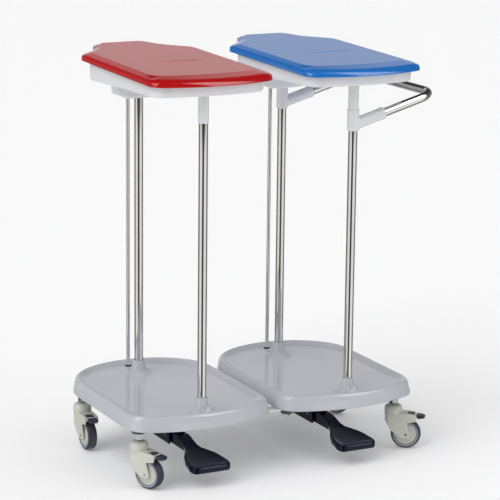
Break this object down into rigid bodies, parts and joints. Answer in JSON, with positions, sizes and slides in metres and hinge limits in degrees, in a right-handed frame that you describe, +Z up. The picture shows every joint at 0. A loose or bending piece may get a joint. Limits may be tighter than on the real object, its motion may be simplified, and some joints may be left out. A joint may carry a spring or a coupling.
{
  "type": "linen trolley",
  "caption": "Free-standing linen trolley with side-by-side bag holders: dished decks, post frames, pedal-opened hinged lids, braked swivel castors and a U-shaped push handle.",
  "frame": {"origin": "middle of the base of the box around the trolley, on the floor under the tyres", "axes": "+Z up, +X towards the side with the push handle, +Y to the back, with the pedals towards -Y"},
  "size_m": [0.8176, 0.5752, 0.9913],
  "materials": {
    "pale_grey_plastic": "glossy moulding with a fine grain",
    "off_white_plastic": "semi-gloss moulding",
    "red_plastic": "high-gloss moulding",
    "blue_plastic": "high-gloss moulding",
    "stainless_tube": "polished stainless steel",
    "steel_hardware": "bright zinc plating",
    "black_plastic": "semi-gloss moulding",
    "cream_plastic": "satin moulding",
    "grey_tyre": "matt moulded rubber",
    "dark_grey_plastic": "satin moulding",
    "navy_plastic": "satin moulding"
  },
  "bodies": {
    "frame": {"left_deck": "pale_grey_plastic", "left_front_post": "stainless_tube", "left_back_post": "stainless_tube", "left_front_sleeve": "off_white_plastic", "left_bag_frame": "off_white_plastic", "left_hinge_housing": "off_white_plastic", "left_rod_grommet": "black_plastic", "left_pedal_pin": "steel_hardware", "left_pedal_bracket": "black_plastic", "right_deck": "pale_grey_plastic", "right_front_post": "stainless_tube", "right_back_post": "stainless_tube", "right_front_sleeve": "off_white_plastic", "right_bag_frame": "off_white_plastic", "right_hinge_housing": "off_white_plastic", "right_rod_grommet": "black_plastic", "right_pedal_pin": "steel_hardware", "right_pedal_bracket": "black_plastic", "front_handle_tee": "off_white_plastic", "back_handle_tee": "off_white_plastic", "push_handle": "stainless_tube", "front_link_plate": "off_white_plastic", "back_link_plate": "off_white_plastic", "left_front_castor_collar": "dark_grey_plastic", "left_front_castor_stem": "steel_hardware", "left_back_castor_collar": "dark_grey_plastic", "left_back_castor_stem": "steel_hardware", "right_front_castor_collar": "dark_grey_plastic", "right_front_castor_stem": "steel_hardware", "right_back_castor_collar": "dark_grey_plastic", "right_back_castor_stem": "steel_hardware"},
    "left_lid": {"left_lid": "red_plastic", "left_hinge_pin": "steel_hardware"},
    "right_lid": {"right_lid": "blue_plastic", "right_hinge_pin": "steel_hardware"},
    "left_push_rod": {"left_push_rod": "stainless_tube"},
    "right_push_rod": {"right_push_rod": "stainless_tube"},
    "left_pedal": {"left_pedal": "black_plastic"},
    "right_pedal": {"right_pedal": "black_plastic"},
    "left_front_castor_fork": {"left_front_castor_fork": "cream_plastic", "left_front_castor_axle": "steel_hardware"},
    "left_back_castor_fork": {"left_back_castor_fork": "cream_plastic", "left_back_castor_axle": "steel_hardware"},
    "right_front_castor_fork": {"right_front_castor_fork": "cream_plastic", "right_front_castor_axle": "steel_hardware"},
    "right_back_castor_fork": {"right_back_castor_fork": "cream_plastic", "right_back_castor_axle": "steel_hardware"},
    "left_front_castor_wheel": {"left_front_castor_hub": "cream_plastic", "left_front_castor_tyre": "grey_tyre"},
    "left_back_castor_wheel": {"left_back_castor_hub": "cream_plastic", "left_back_castor_tyre": "grey_tyre"},
    "right_front_castor_wheel": {"right_front_castor_hub": "cream_plastic", "right_front_castor_tyre": "grey_tyre"},
    "right_back_castor_wheel": {"right_back_castor_hub": "cream_plastic", "right_back_castor_tyre": "grey_tyre"},
    "left_front_castor_brake": {"left_front_castor_brake_tab": "navy_plastic"},
    "left_back_castor_brake": {"left_back_castor_brake_tab": "navy_plastic"},
    "right_front_castor_brake": {"right_front_castor_brake_tab": "navy_plastic"},
    "right_back_castor_brake": {"right_back_castor_brake_tab": "navy_plastic"}
  },
  "joints": [
    {"name": "left_lid_hinge", "type": "hinge", "parent": "frame", "child": "left_lid", "pos_m": [-0.2218, 0.2586, 0.948], "axis": [-1, 0, 0], "range_deg": [0, 70]},
    {"name": "left_rod_slide", "type": "slide", "parent": "frame", "child": "left_push_rod", "axis": [0, 0, 1], "range_m": [0, 0.036]},
    {"name": "left_pedal_hinge", "type": "hinge", "parent": "frame", "child": "left_pedal", "pos_m": [-0.2218, -0.0374, 0.074], "axis": [1, 0, 0], "range_deg": [0, 7.8]},
    {"name": "right_lid_hinge", "type": "hinge", "parent": "frame", "child": "right_lid", "pos_m": [0.1742, 0.2586, 0.948], "axis": [-1, 0, 0], "range_deg": [0, 70]},
    {"name": "right_rod_slide", "type": "slide", "parent": "frame", "child": "right_push_rod", "axis": [0, 0, 1], "range_m": [0, 0.036]},
    {"name": "right_pedal_hinge", "type": "hinge", "parent": "frame", "child": "right_pedal", "pos_m": [0.1742, -0.0374, 0.074], "axis": [1, 0, 0], "range_deg": [0, 7.8]},
    {"name": "left_front_castor_swivel", "type": "hinge", "parent": "frame", "child": "left_front_castor_fork", "pos_m": [-0.37183, -0.16886, 0.1], "axis": [0, 0, 1], "continuous": true},
    {"name": "left_front_castor_wheel_spin", "type": "hinge", "parent": "left_front_castor_fork", "child": "left_front_castor_wheel", "pos_m": [-0.3573, -0.19737, 0.0375], "axis": [0.891, 0.454, 0], "continuous": true},
    {"name": "left_front_castor_brake_press", "type": "hinge", "parent": "left_front_castor_fork", "child": "left_front_castor_brake", "pos_m": [-0.35185, -0.20806, 0.084], "axis": [0.891, 0.454, 0], "range_deg": [0, 6]},
    {"name": "left_back_castor_swivel", "type": "hinge", "parent": "frame", "child": "left_back_castor_fork", "pos_m": [-0.37183, 0.17064, 0.1], "axis": [0, 0, 1], "continuous": true},
    {"name": "left_back_castor_wheel_spin", "type": "hinge", "parent": "left_back_castor_fork", "child": "left_back_castor_wheel", "pos_m": [-0.37183, 0.13864, 0.0375], "axis": [1, 0, 0], "continuous": true},
    {"name": "left_back_castor_brake_press", "type": "hinge", "parent": "left_back_castor_fork", "child": "left_back_castor_brake", "pos_m": [-0.37183, 0.12664, 0.084], "axis": [1, 0, 0], "range_deg": [0, 6]},
    {"name": "right_front_castor_swivel", "type": "hinge", "parent": "frame", "child": "right_front_castor_fork", "pos_m": [0.32417, -0.16886, 0.1], "axis": [0, 0, 1], "continuous": true},
    {"name": "right_front_castor_wheel_spin", "type": "hinge", "parent": "right_front_castor_fork", "child": "right_front_castor_wheel", "pos_m": [0.35131, -0.18581, 0.0375], "axis": [0.5299, 0.848, 0], "continuous": true},
    {"name": "right_front_castor_brake_press", "type": "hinge", "parent": "right_front_castor_fork", "child": "right_front_castor_brake", "pos_m": [0.36149, -0.19217, 0.084], "axis": [0.5299, 0.848, 0], "range_deg": [0, 6]},
    {"name": "right_back_castor_swivel", "type": "hinge", "parent": "frame", "child": "right_back_castor_fork", "pos_m": [0.32417, 0.17064, 0.1], "axis": [0, 0, 1], "continuous": true},
    {"name": "right_back_castor_wheel_spin", "type": "hinge", "parent": "right_back_castor_fork", "child": "right_back_castor_wheel", "pos_m": [0.33668, 0.14119, 0.0375], "axis": [0.9205, 0.3907, 0], "continuous": true},
    {"name": "right_back_castor_brake_press", "type": "hinge", "parent": "right_back_castor_fork", "child": "right_back_castor_brake", "pos_m": [0.34137, 0.13014, 0.084], "axis": [0.9205, 0.3907, 0], "range_deg": [0, 6]}
  ],
  "couplings": [
    {"joint": "left_rod_slide", "follows": "left_lid_hinge", "m_per_rad": 0.0285},
    {"joint": "left_pedal_hinge", "follows": "left_lid_hinge", "ratio": 0.1075},
    {"joint": "right_rod_slide", "follows": "right_lid_hinge", "m_per_rad": 0.0285},
    {"joint": "right_pedal_hinge", "follows": "right_lid_hinge", "ratio": 0.1075}
  ]
}
